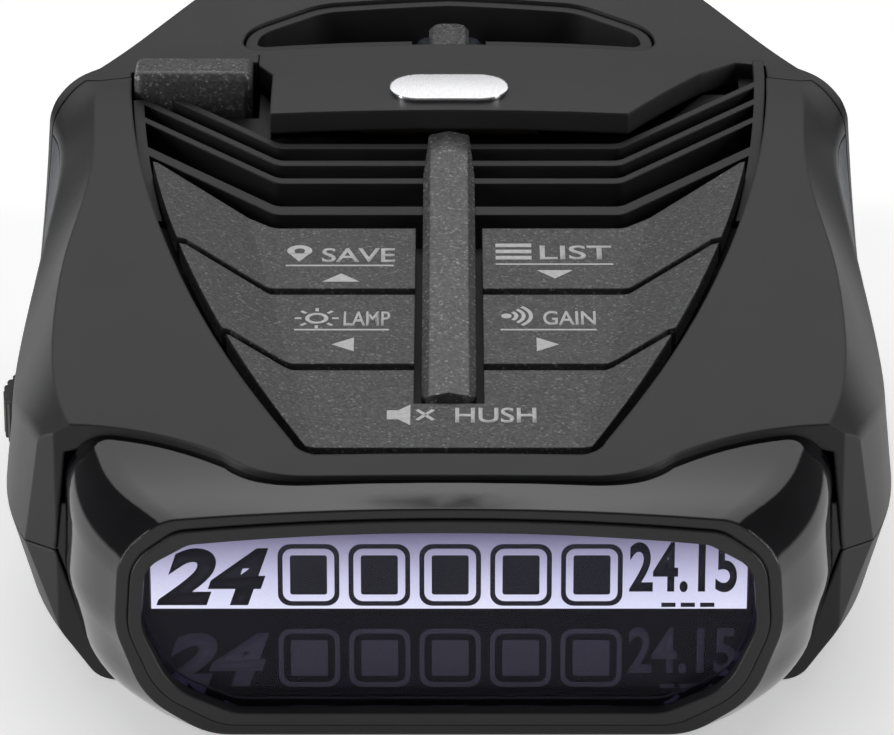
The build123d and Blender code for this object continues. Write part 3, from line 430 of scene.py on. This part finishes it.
LEGENDS = {
    "key_up": (
        pin(-12.5, -7.2) + [bar(-13.6, -9.55, -4.6, -9.3), [(-10.5, -12.4), (-7.4, -12.4), (-8.95, -10.9)]],
        [("SAVE", -10.6, -4.5, -8.8, -6.2)],
    ),
    "key_down": (
        [bar(3.9, -8.3 + 1.15 * i, 6.9, -7.65 + 1.15 * i) for i in range(3)]
        + [bar(3.9, -9.3, 13.7, -9.05), [(7.3, -10.3), (10.3, -10.3), (8.8, -11.8)]],
        [("LIST", 7.6, 13.6, -8.3, -5.7)],
    ),
    "key_left": (
        sun(-10.8, -19.0) + [bar(-12.6, -21.15, -4.9, -20.9), [(-7.7, -22.4), (-7.7, -24.8), (-9.5, -23.6)]],
        [("LAMP", -8.6, -4.8, -20.3, -17.8)],
    ),
    "key_right": (
        waves(5.6, -18.5) + [bar(4.2, -21.15, 12.0, -20.9), [(7.1, -22.4), (7.1, -24.8), (8.9, -23.6)]],
        [("GAIN", 7.7, 12.0, -20.2, -17.7)],
    ),
    "key_mute": (hushed(-3.4, -35.6), [("HUSH", 0.5, 6.9, -36.9, -34.4)]),
}
for key, (shapes, texts) in LEGENDS.items():
    built = [words(t, *spot, bold=0.012) for t, *spot in texts]
    lay("legend_" + key[4:], shapes, built, on_key, INK_WHITE, key, 0.02)


# ---------------------------------------------------------------- what the display shows
LCD_FRONT = LCD_LOW.y / MM
FRAME_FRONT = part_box("lcd_frame")[0].y / MM


def on_lcd(x, z, up):
    return Vector((x, LCD_FRONT - up + 0.003, z)) * MM


def on_frame(x, z, up):
    return Vector((x, FRAME_FRONT - up + 0.003, z)) * MM


CELL_LEFT = -13.2
CELL_PITCH = 5.46
CELL_WIDE = 4.75
CELL_TALL = 5.2
CELL_LINE = 0.38  # width of a cell's outline
CELL_MARGIN = 0.95  # from the outline's outside to the solid middle
REFLECTION_DROP = 6.9  # painted reflection of the lit figures in the window: it sits this far below them
REFLECTION_SQUASH = 0.95


def cells(drop=0.0, squash=1.0):
    """Five rounded cells with solid middles, then the bars under the figures."""
    base = 11.15 - drop
    shapes = []
    for i in range(5):
        x0, x1 = CELL_LEFT + CELL_PITCH * i, CELL_LEFT + CELL_PITCH * i + CELL_WIDE
        y0, y1 = base, base + CELL_TALL * squash
        ring = rounded(x0, y0, x1, y1, 1.0)
        hole = rounded(x0 + CELL_LINE, y0 + CELL_LINE, x1 - CELL_LINE, y1 - CELL_LINE, 0.75)
        for j in range(len(ring)):
            k = (j + 1) % len(ring)
            shapes.append([ring[j], ring[k], hole[k], hole[j]])
        shapes.append(rounded(x0 + CELL_MARGIN, y0 + CELL_MARGIN, x1 - CELL_MARGIN, y1 - CELL_MARGIN, 0.2))
    for i in range(3):
        shapes.append(bar(16.4 + 1.5 * i, base - 0.1, 17.5 + 1.5 * i, base + 0.25))
    return shapes


def figures(drop=0.0, squash=1.0):
    base = 11.0 - drop
    return [
        words("24", -22.6, -13.9, base + 0.2, base + 5.0 * squash, shear=0.28, bold=0.045),
        words("24.15", 13.9, 22.2, base + 1.3, base + 5.5 * squash, bold=0.022),
    ]


lay("lcd_figures", cells(), figures(), on_lcd, GLYPH_DARK, "case", 0.04)
# painted reflection of the lit figures in the smoked window, drawn as a dim glowing copy on the frame below the
# panel
reflected_cells = cells(REFLECTION_DROP, REFLECTION_SQUASH)
reflected_figures = figures(REFLECTION_DROP, REFLECTION_SQUASH)
lay("lcd_painted_reflection_figures", reflected_cells, reflected_figures, on_frame, REFLECTION_INK, "case", 0.03)


# ---------------------------------------------------------------- studio
def light(name, place, aim, power, size, size_y):
    lamp = bpy.data.lights.new(name, "AREA")
    lamp.energy = power
    lamp.shape = "RECTANGLE"
    lamp.size = size
    lamp.size_y = size_y
    obj = bpy.data.objects.new(name, lamp)
    obj.location = place
    obj.rotation_euler = (Vector(aim) - Vector(place)).to_track_quat("-Z", "Y").to_euler()
    bpy.context.scene.collection.objects.link(obj)


light("top_far", (0.0, 0.42, 0.62), (0, 0.01, 0.02), 3.4, 1.1, 0.75)
light("left_strip", (-0.42, -0.10, 0.12), (0, -0.03, 0.01), 1.2, 0.05, 0.30)
light("right_strip", (0.42, -0.10, 0.12), (0, -0.03, 0.01), 0.9, 0.05, 0.30)
bpy.context.scene.view_settings.view_transform = "Standard"
bpy.context.scene.view_settings.look = "None"

world = bpy.data.worlds.new("studio")
world.use_nodes = True
world.node_tree.nodes["Background"].inputs["Color"].default_value = (1.0, 1.0, 1.0, 1)
world.node_tree.nodes["Background"].inputs["Strength"].default_value = 0.12
bpy.context.scene.world = world

pale = Nodes("pale_floor")
pale_tones = pale.ramp(pale.noise(6.0, 2.0), [(0.3, (0.88, 0.88, 0.88)), (0.7, (0.93, 0.93, 0.93))])
pale.link(pale_tones, pale.bsdf.inputs["Base Color"])
pale.bsdf.inputs["Roughness"].default_value = 0.9
pale.bsdf.inputs["Emission Color"].default_value = (1.0, 1.0, 1.0, 1)
pale.bsdf.inputs["Emission Strength"].default_value = 0.38
bm = bmesh.new()
bmesh.ops.create_grid(bm, x_segments=2, y_segments=2, size=6.0)
floor_mesh = bpy.data.meshes.new("floor")
bm.to_mesh(floor_mesh)
floor_mesh.materials.append(pale.mat)
floor = bpy.data.objects.new("floor", floor_mesh)
floor.location = (0, 0, -0.0002)
bpy.context.scene.collection.objects.link(floor)

camera_data = bpy.data.cameras.new("camera")
camera_data.lens = 212.0
camera_data.sensor_width = 36.0
camera_data.shift_x = -0.0022
camera = bpy.data.objects.new("camera", camera_data)
target = Vector((0.0, -0.002, 0.012))
tilt = math.radians(22.0)
CAMERA_FAR = 0.45
camera.location = target + CAMERA_FAR * Vector((0.0, -math.cos(tilt), math.sin(tilt)))
camera.rotation_euler = (target - camera.location).to_track_quat("-Z", "Y").to_euler()
bpy.context.scene.collection.objects.link(camera)
bpy.context.scene.camera = camera
